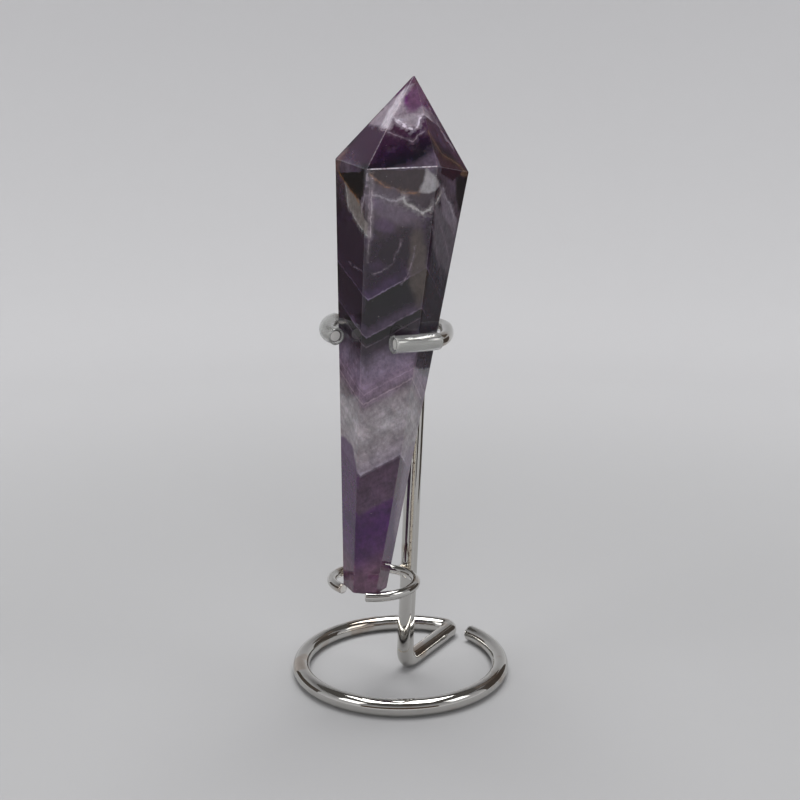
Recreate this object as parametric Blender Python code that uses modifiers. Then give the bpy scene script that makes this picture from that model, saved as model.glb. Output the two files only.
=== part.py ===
"""Amethyst pencil point standing in a chromed wire holder.

The stone is one tapered six-sided crystal, ground to a point at the wide end and cut flat
at the narrow end. The holder is bent and welded wire: a base ring whose end turns in to the
middle and up as the post, a support rod along the post, a small open ring round the stone's
tip, and an open cradle with two clear sleeves that the stone wedges in. Metres, +Z up.
"""
import math

import bmesh
import bpy
from mathutils import Euler, Vector

# Wire and sleeve diameters
BASE_WIRE = 0.0050
CRADLE_WIRE = 0.0036
TIP_WIRE = 0.00275
SLEEVE_OUTER = 0.0046
SLEEVE_WALL = 0.00024
GAP = 0.0003

# Wire sections: sides of a round section, and half a side's turn, which lays a flat down
WIRE_RESOLUTION = 4
WIRE_SIDES = 12
HALF_SIDE = math.pi / WIRE_SIDES

# Base ring, measured from its own centre
RING_CENTRE_Y = 0.0048
RING_RADIUS = 0.03025
RING_FLARE = 0.0017
RING_FLARE_SPAN = 75.0
FREE_END_ANGLE = 44.5
LEG_ANGLE = 57.0
RING_STEPS = 60
LEG_BEND_RADIUS = 0.0029
FOOT_BEND_RADIUS = 0.0042
BEND_STEPS = 5

# Post and support rod: the foot is where the leg turns up
FOOT = Vector((0.0014, -0.0008))
POST_TOP = 0.0985
ROD_BOTTOM = 0.0085
ROD_TOP = 0.1122
POST_LEAN = 0.0410
ROD_SHIFT = -0.0006
# Rounded lower end of the rod: share of the radius up, and share of the full width there
ROD_TOE = ((0.0, 0.45), (0.25, 0.75), (0.6, 0.93), (1.1, 1.0))

# Open ring round the stone's tip
TIP_RING_RADIUS = 0.0119
TIP_RING_HEIGHT = 0.0348
TIP_RING_START = -99.5
TIP_RING_END = 226.0
TIP_RING_RISE = 0.0011
TIP_RING_WELD = math.radians(51.3)
TIP_RING_STEPS = 44

# Cradle: points that the open loop passes through, from its left tip round the back to its
# right tip, measured from the base ring's centre
CRADLE_POINTS = (
    (-0.0170, -0.0283, 0.1068),
    (-0.0189, -0.0254, 0.1074),
    (-0.0195, -0.0210, 0.1083),
    (-0.0188, -0.0156, 0.1090),
    (-0.0158, -0.0113, 0.1094),
    (-0.0100, -0.0094, 0.1093),
    (-0.0020, -0.0092, 0.1088),
    (0.0060, -0.0094, 0.1083),
    (0.0104, -0.0114, 0.1080),
    (0.0122, -0.0156, 0.1078),
    (0.0126, -0.0213, 0.1075),
    (0.0121, -0.0277, 0.1068),
    (0.0101, -0.0340, 0.1064),
    (0.0062, -0.0367, 0.1062),
    (0.0020, -0.0378, 0.1060),
    (-0.0012, -0.0394, 0.1060),
)
CRADLE_STEPS = 3
SLEEVE_OVERHANG = 0.0012
SLEEVE_LENGTHS = {"sleeve_left": 0.0165, "sleeve_right": 0.0125}

# Stone: centre of the flat end, leans in degrees, lengths along its own axis
STONE_FOOT = Vector((-0.0100, -0.0178, 0.0337))
STONE_LEAN_RIGHT = 5.15
STONE_LEAN_FORWARD = 4.0
STONE_SIDES = 6
BODY_LENGTH = 0.1178
TIP_RADIUS = 0.0062
SHOULDER_RADIUS = 0.0173
POINT_HEIGHT = 0.0226
POINT_SHIFT = 0.0010
EDGE_BREAK = 0.00022
# How far each shoulder corner sits along its edge from the regular place, by corner angle
SHOULDER_SLIDE = {180: 0.0002, 240: -0.0012, 300: 0.0011, 0: -0.0001, 60: -0.0007, 120: 0.0006}
# How far the front right edge stands out at a third and two thirds of the body
EDGE_BOW_ANGLE = 300
EDGE_BOW = ((1 / 3, 0.0013), (2 / 3, 0.0013))


def clear_scene():
    """Remove every object of the open file."""
    for thing in list(bpy.data.objects):
        bpy.data.objects.remove(thing, do_unlink=True)


def make_collection(name):
    """Add a collection under the scene."""
    group = bpy.data.collections.new(name)
    bpy.context.scene.collection.children.link(group)
    return group


def make_material(name, colour, roughness, metallic=0.0, transmission=0.0, ior=1.5):
    """Principled material with one plain colour."""
    material = bpy.data.materials.new(name)
    material.use_nodes = True
    shader = material.node_tree.nodes["Principled BSDF"]
    shader.inputs["Base Color"].default_value = (*colour, 1.0)
    shader.inputs["Roughness"].default_value = roughness
    shader.inputs["Metallic"].default_value = metallic
    shader.inputs["Transmission Weight"].default_value = transmission
    shader.inputs["IOR"].default_value = ior
    return material


def on_circle(centre, radius, degrees, height):
    """Point of a level circle."""
    angle = math.radians(degrees)
    return Vector((centre.x + radius * math.cos(angle), centre.y + radius * math.sin(angle), height))


def arc(centre, radius, start, end, steps, height):
    """Points of a level arc from start to end, in degrees."""
    return [on_circle(centre, radius, start + (end - start) * i / steps, height) for i in range(steps + 1)]


def round_corner(before, corner, after, radius, steps):
    """Points of the arc that rounds a corner between two straight runs."""
    back = (before - corner).normalized()
    ahead = (after - corner).normalized()
    half = back.angle(ahead) / 2
    centre = corner + (back + ahead).normalized() * (radius / math.sin(half))
    start = corner + back * (radius / math.tan(half)) - centre
    end = corner + ahead * (radius / math.tan(half)) - centre
    return [centre + start.slerp(end, i / steps) * radius for i in range(steps + 1)]


def smooth_route(corners, steps):
    """Points of a Catmull-Rom curve through the corners."""
    route = []
    first = corners[0] * 2 - corners[1]
    last = corners[-1] * 2 - corners[-2]
    held = [first, *corners, last]
    for a, b, c, d in zip(held, held[1:], held[2:], held[3:]):
        for step in range(steps):
            t = step / steps
            route.append(0.5 * (2 * b + (c - a) * t + (2 * a - 5 * b + 4 * c - d) * t**2
                                + (3 * b - a - 3 * c + d) * t**3))
    route.append(corners[-1])
    return route


def cut_route(route, length):
    """First stretch of a route, cut at a length along it."""
    kept = [route[0]]
    left = length
    for point in route[1:]:
        span = (point - kept[-1]).length
        if span >= left:
            kept.append(kept[-1].lerp(point, left / span))
            return kept
        kept.append(point)
        left -= span
    return kept


def make_wire(name, route, diameter, material, capped=True, tilt=0.0, start_shares=()):
    """Round wire along a run of points; start_shares thins its first points."""
    curve = bpy.data.curves.new(name, "CURVE")
    curve.dimensions = "3D"
    curve.twist_mode = "MINIMUM"
    curve.bevel_depth = diameter / 2
    curve.bevel_resolution = WIRE_RESOLUTION
    curve.use_fill_caps = capped
    curve.materials.append(material)
    spline = curve.splines.new("POLY")
    spline.points.add(len(route) - 1)
    spline.use_smooth = True
    for point, place in zip(spline.points, route):
        point.co = (*place, 1.0)
        point.tilt = tilt
    for point, share in zip(spline.points, start_shares):
        point.radius = share
    wire = bpy.data.objects.new(name, curve)
    PARTS.objects.link(wire)
    wire.parent = STAND
    return wire


def rod_centre(height, sideways=0.0, forward=0.0):
    """Point on the leaning line of the post or of the rod beside it."""
    lean = (height - base_height()) * POST_LEAN
    return Vector((FOOT.x + lean + sideways, FOOT.y + forward, height))


def rod_forward():
    """How far the support rod stands in front of the post."""
    return -(BASE_WIRE / 2 + CRADLE_WIRE / 2 + GAP)


def base_height():
    """Height of the base wire's centre, with a flat of its section on the ground."""
    return BASE_WIRE / 2 * math.cos(HALF_SIDE)


def ring_point(degrees, height):
    """Point of the base ring, which opens a little towards both ends of the wire."""
    to_end = min(FREE_END_ANGLE - degrees, degrees - (LEG_ANGLE - 360.0))
    ease = max(0.0, 1.0 - to_end / RING_FLARE_SPAN)
    return on_circle(Vector((0.0, 0.0)), RING_RADIUS + RING_FLARE * ease**1.5, degrees, height)


def make_base_wire(material):
    """Base ring, the leg to its middle and the post, bent from one wire."""
    height = base_height()
    foot = Vector((FOOT.x, FOOT.y, height))
    last = LEG_ANGLE - 360.0
    corner = ring_point(last, height)
    bend_span = math.degrees(LEG_BEND_RADIUS / RING_RADIUS) + 360.0 / RING_STEPS / 2
    sweep = last + bend_span - FREE_END_ANGLE
    route = [ring_point(FREE_END_ANGLE + sweep * i / RING_STEPS, height) for i in range(RING_STEPS + 1)]
    route += round_corner(route[-1], corner, foot, LEG_BEND_RADIUS, BEND_STEPS)
    top = rod_centre(POST_TOP)
    route += round_corner(corner, foot, top, FOOT_BEND_RADIUS, BEND_STEPS)
    route.append(top)
    return make_wire("base_wire", route, BASE_WIRE, material, tilt=HALF_SIDE)


def make_support_rod(material):
    """Straight rod in front of the post, which carries the tip ring and the cradle."""
    heights = [ROD_BOTTOM + CRADLE_WIRE / 2 * share for share, _ in ROD_TOE] + [ROD_TOP]
    route = [rod_centre(height, ROD_SHIFT, rod_forward()) for height in heights]
    return make_wire("support_rod", route, CRADLE_WIRE, material, start_shares=[width for _, width in ROD_TOE])


def tip_ring_centre():
    """Centre of the tip ring, which touches the rod's front left side."""
    rod = rod_centre(TIP_RING_HEIGHT, ROD_SHIFT, rod_forward())
    reach = TIP_RING_RADIUS + TIP_WIRE / 2 + CRADLE_WIRE / 2 + GAP
    return rod - Vector((math.cos(TIP_RING_WELD), math.sin(TIP_RING_WELD), 0.0)) * reach


def make_tip_ring(material):
    """Small ring, open at the front left, round the stone's narrow end."""
    centre = tip_ring_centre()
    route = arc(centre, TIP_RING_RADIUS, TIP_RING_START, TIP_RING_END, TIP_RING_STEPS, TIP_RING_HEIGHT)
    for i, point in enumerate(route):
        past_half = max(0.0, 2 * i / TIP_RING_STEPS - 1)
        point.z += TIP_RING_RISE * past_half
    return make_wire("tip_ring", route, TIP_WIRE, material)


def cradle_route():
    """Points of the cradle wire from its left tip to its right tip."""
    return smooth_route([Vector(point) for point in CRADLE_POINTS], CRADLE_STEPS)


def make_cradle_wire(material):
    """Open loop welded to the front of the rod, in which the stone wedges."""
    return make_wire("cradle_wire", cradle_route(), CRADLE_WIRE, material)


def make_sleeve(name, route, material):
    """Clear tube over one end of the cradle wire, a little past the wire's cut end."""
    out = (route[0] - route[1]).normalized()
    covered = cut_route(route, SLEEVE_LENGTHS[name] - SLEEVE_OVERHANG)
    sleeve = make_wire(name, [route[0] + out * SLEEVE_OVERHANG, *covered], SLEEVE_OUTER, material,
                       capped=False)
    wall = sleeve.modifiers.new("wall", "SOLIDIFY")
    wall.thickness = SLEEVE_WALL
    wall.offset = -1.0
    return sleeve


def make_stone(material):
    """Tapered six-sided crystal with a six-sided point, standing on its narrow flat end."""
    shape = bmesh.new()
    bmesh.ops.create_cone(shape, cap_ends=True, segments=STONE_SIDES, radius1=TIP_RADIUS,
                          radius2=SHOULDER_RADIUS, depth=BODY_LENGTH)
    bmesh.ops.translate(shape, verts=shape.verts, vec=(0.0, 0.0, BODY_LENGTH / 2))
    half_facet = Euler((0.0, 0.0, math.pi / STONE_SIDES)).to_matrix()
    bmesh.ops.rotate(shape, verts=shape.verts, matrix=half_facet)
    for share, bow in EDGE_BOW:
        bow_edge(shape, share * BODY_LENGTH, bow)
    slide_shoulder(shape)
    top = max(shape.faces, key=lambda face: face.calc_center_median().z)
    point = bmesh.ops.poke(shape, faces=[top])["verts"][0]
    point.co = Vector((POINT_SHIFT, 0.0, BODY_LENGTH + POINT_HEIGHT))
    mesh = bpy.data.meshes.new("amethyst_point")
    shape.to_mesh(mesh)
    shape.free()
    mesh.materials.append(material)
    stone = bpy.data.objects.new("amethyst_point", mesh)
    PARTS.objects.link(stone)
    stone.parent = STAND
    stone.location = STONE_FOOT
    stone.rotation_euler = (math.radians(STONE_LEAN_FORWARD), math.radians(STONE_LEAN_RIGHT), 0.0)
    edges = stone.modifiers.new("broken edges", "BEVEL")
    edges.width = EDGE_BREAK
    edges.segments = 1
    edges.limit_method = "ANGLE"
    edges.angle_limit = math.radians(12.0)
    return stone


def bow_edge(shape, height, bow):
    """Add a row of corners round the body and push the front right one outwards."""
    geometry = [*shape.verts, *shape.edges, *shape.faces]
    cut = bmesh.ops.bisect_plane(shape, geom=geometry, plane_co=(0.0, 0.0, height),
                                 plane_no=(0.0, 0.0, 1.0))
    row = [item for item in cut["geom_cut"] if isinstance(item, bmesh.types.BMVert)]
    angle = math.radians(EDGE_BOW_ANGLE)
    edge_side = Vector((math.cos(angle), math.sin(angle), 0.0))
    corner = max(row, key=lambda vert: vert.co.dot(edge_side))
    corner.co.x += bow


def slide_shoulder(shape):
    """Move each shoulder corner along its own edge, as the facets were ground by hand."""
    slope = (SHOULDER_RADIUS - TIP_RADIUS) / BODY_LENGTH
    corners = [vert for vert in shape.verts if vert.co.z > BODY_LENGTH - GAP]
    for vert in corners:
        angle = round(math.degrees(math.atan2(vert.co.y, vert.co.x))) % 360
        slide = SHOULDER_SLIDE[angle]
        outwards = Vector((vert.co.x, vert.co.y, 0.0)).normalized()
        vert.co += outwards * slope * slide + Vector((0.0, 0.0, slide))


clear_scene()
PARTS = make_collection("amethyst pencil point")
STAND = bpy.data.objects.new("stand_frame", None)
STAND.location = (0.0, RING_CENTRE_Y, 0.0)
PARTS.objects.link(STAND)

chrome = make_material("chromed steel", (0.78, 0.78, 0.77), 0.10, metallic=1.0)
amethyst = make_material("chevron amethyst", (0.16, 0.11, 0.20), 0.12, ior=1.544)
vinyl = make_material("clear vinyl", (0.86, 0.87, 0.86), 0.15, transmission=0.8, ior=1.53)

make_base_wire(chrome)
make_support_rod(chrome)
make_tip_ring(chrome)
make_cradle_wire(chrome)
make_sleeve("sleeve_left", cradle_route(), vinyl)
make_sleeve("sleeve_right", cradle_route()[::-1], vinyl)
make_stone(amethyst)
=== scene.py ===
"""Looks of the amethyst pencil point and its chromed wire holder.

The stone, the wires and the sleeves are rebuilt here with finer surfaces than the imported
solids have, each in the place of its own node. Metres, +Z up, in the frame of the model.
"""

import logging
import math
from collections.abc import Callable
from dataclasses import dataclass, field
from enum import Enum

import bmesh
import bpy
from mathutils import Euler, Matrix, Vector


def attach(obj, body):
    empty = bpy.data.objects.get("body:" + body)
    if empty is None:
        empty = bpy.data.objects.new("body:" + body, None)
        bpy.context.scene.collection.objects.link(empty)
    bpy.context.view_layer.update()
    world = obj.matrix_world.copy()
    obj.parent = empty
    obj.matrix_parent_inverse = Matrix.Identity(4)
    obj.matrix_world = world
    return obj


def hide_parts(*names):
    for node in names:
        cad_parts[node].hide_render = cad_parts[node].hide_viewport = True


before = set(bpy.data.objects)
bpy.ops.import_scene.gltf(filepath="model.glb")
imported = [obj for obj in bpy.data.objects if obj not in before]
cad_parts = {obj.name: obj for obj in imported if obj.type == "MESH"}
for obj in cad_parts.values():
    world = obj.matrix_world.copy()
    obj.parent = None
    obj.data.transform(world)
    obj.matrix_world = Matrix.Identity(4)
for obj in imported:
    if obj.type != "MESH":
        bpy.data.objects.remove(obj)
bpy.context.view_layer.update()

LOG = logging.getLogger("pencil_point")
MILLIMETRE = 0.001
BODY = "root"
# Face attribute for the painted highlight and the chipping along the ground edges
EDGE_LIGHT = "edge_light"

Piece = bpy.types.Object
Socket = bpy.types.NodeSocket
Outputs = bpy.types.NodeOutputs
Colour = tuple[float, float, float]
Shade = tuple[int, int, int]
Point = tuple[float, float, float]
Value = float | tuple | Socket

# What the stone's polish adds to every colour, and the share of the studio's light that it gets
SKIN_SHEEN = 0.026
SKIN_LIGHT = 0.80
DARKEST = 0.004

# Shades as seen on a screen, from 0 to 255 a channel
WHITE_LILAC = (176, 169, 180)
PALE_GREY = (148, 145, 146)
MAUVE_GREY = (112, 102, 112)
BLACK_GLASS = (40, 36, 40)
VIOLET = (82, 68, 92)
BROWN_SMOKE = (76, 68, 70)
RUST = (118, 88, 66)
# Painted highlight along the ground edges
PAINTED_EDGE_HIGHLIGHT = (214, 206, 216)


def display(shade: Shade) -> Colour:
    """Scene colour of a shade picked on a screen."""
    shares = [level / 255 for level in shade]
    return tuple(s / 12.92 if s <= 0.04045 else ((s + 0.055) / 1.055) ** 2.4 for s in shares)


def pigment(shade: Shade) -> Colour:
    """Colour under the polish of a shade seen in the studio."""
    return tuple(max(DARKEST, (seen - SKIN_SHEEN) / SKIN_LIGHT) for seen in display(shade))


class Slot(Enum):
    """Material slots of the record."""

    STONE = "amethyst"
    CHROME = "chromed_wire"
    SLEEVE = "clear_sleeve"


class Sheet:
    """A node tree with short methods that add a node and join it in one step."""

    def __init__(self, tree: bpy.types.NodeTree) -> None:
        """Keep the tree that the nodes go into."""
        self.tree = tree

    def put(self, socket: Socket, value: Value) -> None:
        """Join a socket to another one, or set it to a constant.

        Args:
            socket: Input socket.
            value: Output socket, number, vector or colour.
        """
        if isinstance(value, Socket):
            self.tree.links.new(value, socket)
        elif isinstance(value, tuple) and len(value) == 3 and socket.type == "RGBA":
            socket.default_value = (*value, 1.0)
        else:
            socket.default_value = value

    def node(self, kind: str, inputs: dict | None = None, **settings: object) -> bpy.types.Node:
        """Add a node.

        Args:
            kind: Node type.
            inputs: Values or sockets for its inputs, by name or number.
            settings: Properties of the node.

        Returns:
            The new node.
        """
        made = self.tree.nodes.new(kind)
        for name, setting in settings.items():
            setattr(made, name, setting)
        for name, value in (inputs or {}).items():
            self.put(made.inputs[name], value)
        return made

    def math(self, operation: str, *terms: Value) -> Socket:
        """Output of a Math node with these terms."""
        return self.node("ShaderNodeMath", dict(enumerate(terms)), operation=operation).outputs[0]

    def times(self, product: Value, *factors: Value) -> Value:
        """Multiply values.

        Args:
            product: First value.
            factors: The others.

        Returns:
            Their product.
        """
        for factor in factors:
            product = self.math("MULTIPLY", product, factor)
        return product

    def vector(self, operation: str, *terms: Value) -> Socket:
        """Vector that a Vector Math node makes of these terms."""
        return self.node("ShaderNodeVectorMath", dict(enumerate(terms)), operation=operation).outputs[0]

    def measure(self, operation: str, *terms: Value) -> Socket:
        """Number that a Vector Math node makes of these terms."""
        return self.node("ShaderNodeVectorMath", dict(enumerate(terms)), operation=operation).outputs[1]

    def scaled(self, place: Socket, factor: Value) -> Socket:
        """Vector times a number."""
        return self.node("ShaderNodeVectorMath", {0: place, "Scale": factor}, operation="SCALE").outputs[0]

    def inside(self, place: Socket, origin: Value, turn: Value, size: Value) -> Socket:
        """Place as measured in a frame of its own, by that frame's origin, turn and size."""
        inputs = {"Vector": place, "Location": origin, "Rotation": turn, "Scale": size}
        return self.node("ShaderNodeMapping", inputs, vector_type="TEXTURE").outputs[0]

    def step(self, value: Value, low: Value, high: Value, to_low: float = 0.0,
             to_high: float = 1.0) -> Socket:
        """Step a value smoothly from one level to another.

        Args:
            value: What is measured.
            low: Value where the step starts.
            high: Value where it ends.
            to_low: Output at the start.
            to_high: Output at the end.

        Returns:
            The stepped value.
        """
        inputs = {"Value": value, "From Min": low, "From Max": high, "To Min": to_low, "To Max": to_high}
        return self.node("ShaderNodeMapRange", inputs, interpolation_type="SMOOTHSTEP").outputs[0]

    def noise(self, place: Socket, scale: float, detail: float = 2.0, roughness: float = 0.5,
              output: str = "Fac") -> Socket:
        """Value or colour of a noise texture."""
        inputs = {"Vector": place, "Scale": scale, "Detail": detail, "Roughness": roughness}
        return self.node("ShaderNodeTexNoise", inputs).outputs[output]

    def mix(self, share: Value, first: Value, second: Value, blend: str = "MIX") -> Socket:
        """Colour between two colours."""
        inputs = {0: share, 6: first, 7: second}
        return self.node("ShaderNodeMix", inputs, data_type="RGBA", blend_type=blend).outputs[2]

    def ramp(self, share: Socket, stops: list[tuple[float, Colour]]) -> Socket:
        """Read a colour off a ramp.

        Args:
            share: Where to read it, from 0 to 1.
            stops: Places and colours of the ramp's stops.

        Returns:
            The colour.
        """
        made = self.node("ShaderNodeValToRGB", {"Fac": share})
        marks = made.color_ramp.elements
        while len(marks) < len(stops):
            marks.new(1.0)
        for mark, (position, colour) in zip(marks, stops):
            mark.position = position
            mark.color = (*colour, 1.0)
        return made.outputs[0]

    def object_place(self) -> Socket:
        """Object coordinates."""
        return self.node("ShaderNodeTexCoord").outputs["Object"]

    def bump(self, height: Socket, strength: float, distance: float) -> Socket:
        """Normal of a surface that a height raises and sinks."""
        inputs = {"Height": height, "Strength": strength, "Distance": distance}
        return self.node("ShaderNodeBump", inputs).outputs[0]

    def shader(self, **values: Value) -> None:
        """Join a Principled shader to the output; its values go by socket name, with _ for a space."""
        made = self.node("ShaderNodeBsdfPrincipled", spaced(values))
        self.node("ShaderNodeOutputMaterial", {"Surface": made.outputs[0]})


def spaced(values: dict[str, Value]) -> dict[str, Value]:
    """Values by socket name, with a space for each _."""
    return {name.replace("_", " "): value for name, value in values.items()}


class Finish:
    """What a surface is made of; each kind draws its own nodes."""

    name = ""

    def draw(self, sheet: Sheet) -> None:
        """Draw the finish on its material's sheet."""
        raise NotImplementedError

    def material(self) -> bpy.types.Material:
        """Build the finish's material.

        Returns:
            The material.
        """
        made = bpy.data.materials.new(self.name)
        made.use_nodes = True
        made.node_tree.nodes.clear()
        self.draw(Sheet(made.node_tree))
        return made


class EffectGroup:
    """A shader node group that more than one place uses, built once."""

    name = ""
    places: tuple[str, ...] = ()
    numbers: tuple[str, ...] = ()
    results: tuple[str, ...] = ("Mask",)

    def tree(self) -> bpy.types.NodeTree:
        """Build the group's tree, the first time that it is asked for.

        Returns:
            The tree.
        """
        if self.name in bpy.data.node_groups:
            return bpy.data.node_groups[self.name]
        made = bpy.data.node_groups.new(self.name, "ShaderNodeTree")
        sockets = [(name, "INPUT", "NodeSocketVector") for name in self.places]
        sockets += [(name, "INPUT", "NodeSocketFloat") for name in self.numbers]
        sockets += [(name, "OUTPUT", "NodeSocketFloat") for name in self.results]
        for name, way, kind in sockets:
            made.interface.new_socket(name, in_out=way, socket_type=kind)
        sheet = Sheet(made)
        results = self.draw(sheet, sheet.node("NodeGroupInput").outputs)
        sheet.node("NodeGroupOutput", dict(zip(self.results, results)))
        return made

    def draw(self, sheet: Sheet, given: Outputs) -> tuple[Socket, ...]:
        """Draw the nodes inside the group; each effect has its own.

        Args:
            sheet: Sheet of the group.
            given: The group's inputs by name.

        Returns:
            What the group puts out, in the order of its results.
        """
        raise NotImplementedError

    def place(self, sheet: Sheet, **values: Value) -> Outputs:
        """Put the group in a material; its values go by input name, with _ for a space."""
        return sheet.node("ShaderNodeGroup", spaced(values), node_tree=self.tree()).outputs


class HandlingMarks(EffectGroup):
    """Faint rubs and polish waves that every glossy surface here has."""

    name = "handling marks"
    places = ("Place",)
    numbers = ("Scale", "Base Roughness", "Rub")
    results = ("Roughness", "Height")

    def draw(self, sheet: Sheet, given: Outputs) -> tuple[Socket, ...]:
        """Cloudy rubs over fine dust for the roughness, and broad polish waves for the height."""
        place = sheet.scaled(given["Place"], given["Scale"])
        rubs = sheet.step(sheet.noise(place, 1.0, 5.0, 0.6), 0.45, 0.75)
        dust = sheet.step(sheet.noise(place, 9.0, 2.0), 0.6, 0.8)
        worn = sheet.math("MULTIPLY_ADD", rubs, 0.7, sheet.times(dust, 0.3))
        roughness = sheet.math("MULTIPLY_ADD", worn, given["Rub"], given["Base Roughness"])
        return roughness, sheet.noise(place, 0.6, 1.0)


class GrowthLine(EffectGroup):
    """A line between two growth layers, sharp below and fading above."""

    name = "growth line"
    numbers = ("Depth", "At", "Below", "Above")

    def draw(self, sheet: Sheet, given: Outputs) -> tuple[Socket, ...]:
        """Rise of the line below its place, times its fall above it."""
        start = sheet.math("SUBTRACT", given["At"], given["Below"])
        end = sheet.math("ADD", given["At"], given["Above"])
        rise = sheet.step(given["Depth"], start, given["At"])
        fall = sheet.step(given["Depth"], given["At"], end, 1.0, 0.0)
        return (sheet.times(rise, fall),)


class Inclusion(EffectGroup):
    """An ellipsoid of other colour inside the stone, with a cloudy edge."""

    name = "inclusion"
    places = ("Place", "Centre", "Turn", "Size")
    numbers = ("Edge",)

    def draw(self, sheet: Sheet, given: Outputs) -> tuple[Socket, ...]:
        """Length of the place in the ellipsoid's own measure, stepped over its edge."""
        inside = sheet.inside(given["Place"], given["Centre"], given["Turn"], given["Size"])
        reach = sheet.measure("LENGTH", inside)
        start = sheet.math("SUBTRACT", 1.0, given["Edge"])
        end = sheet.math("ADD", 1.0, given["Edge"])
        return (sheet.step(reach, start, end, 1.0, 0.0),)


class FlatCut(EffectGroup):
    """One flat side of an angular inclusion."""

    name = "flat cut"
    places = ("Place", "Point", "Inward")
    numbers = ("Soft",)

    def draw(self, sheet: Sheet, given: Outputs) -> tuple[Socket, ...]:
        """Distance behind the side, stepped over its softness."""
        offset = sheet.vector("SUBTRACT", given["Place"], given["Point"])
        behind = sheet.measure("DOT_PRODUCT", offset, given["Inward"])
        return (sheet.step(behind, sheet.times(given["Soft"], -1.0), given["Soft"]),)


class StreakRun(EffectGroup):
    """One straight run of a thin streak, with a faint veil round it; most streaks lie inside the stone, two
    are a painted edge highlight.
    """

    name = "streak run"
    places = ("Place", "Start", "Along")
    numbers = ("Width",)

    def draw(self, sheet: Sheet, given: Outputs) -> tuple[Socket, ...]:
        """Distance to the run, stepped over its width and over the wider veil."""
        offset = sheet.vector("SUBTRACT", given["Place"], given["Start"])
        forward = sheet.measure("DOT_PRODUCT", offset, given["Along"])
        length = sheet.measure("DOT_PRODUCT", given["Along"], given["Along"])
        share = sheet.math("DIVIDE", forward, length)
        share = sheet.math("MINIMUM", sheet.math("MAXIMUM", share, 0.0), 1.0)
        away = sheet.measure("DISTANCE", offset, sheet.scaled(given["Along"], share))
        core = sheet.step(away, sheet.times(given["Width"], 0.3), given["Width"], 1.0, 0.0)
        veil = sheet.step(away, 0.0, sheet.times(given["Width"], 3.5), 0.35, 0.0)
        return (sheet.math("MAXIMUM", core, veil),)


@dataclass(frozen=True)
class Line:
    """One visible growth line: its depth, widths below and above it, colour and strength."""

    depth: float
    below: float
    above: float
    colour: Shade
    strength: float


@dataclass(frozen=True)
class Patch:
    """One cloudy inclusion in the stone's own millimetres: a long body between two points."""

    name: str
    start: Point
    end: Point
    girth: tuple[float, float]
    colour: Shade
    strength: float
    edge: float = 0.5

    def frame(self) -> tuple[tuple, tuple, tuple]:
        """Lay the body's length along X and its height up Z.

        Returns:
            Its centre, turn and half sizes.
        """
        start = Vector(self.start)
        along = Vector(self.end) - start
        turn = along.to_track_quat("X", "Z").to_euler()
        return tuple(start + along / 2), tuple(turn), (along.length / 2, *self.girth)


@dataclass(frozen=True)
class Shard:
    """One angular inclusion under the skin, except the window, which is a painted reflection: flat sides
    round its corners, in the stone's millimetres.
    """

    name: str
    corners: tuple[Point, ...]
    colour: Shade
    strength: float
    soft: float = 0.4
    depth: float = 4.0

    def cuts(self) -> list[tuple[tuple, tuple]]:
        """Find the flat sides that bound the shard, and the one that faces the stone's middle.

        Returns:
            A point and the inward direction of each side.
        """
        spots = [Vector(corner) for corner in self.corners]
        middle = sum(spots, Vector()) / len(spots)
        outward = Vector((middle.x, middle.y, 0.0)).normalized()
        sides = [(tuple(middle - outward * self.depth), tuple(outward))]
        for first, second in zip(spots, [*spots[1:], spots[0]]):
            inward = (second - first).cross(outward).normalized()
            if inward.dot(middle - first) <= 0:
                inward = -inward
            sides.append((tuple(first), tuple(inward)))
        return sides


@dataclass(frozen=True)
class Streak:
    """One thin streak through points in the stone's own millimetres."""

    name: str
    points: tuple[Point, ...]
    width: float
    colour: Shade
    strength: float
    straight: bool = False


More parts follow.
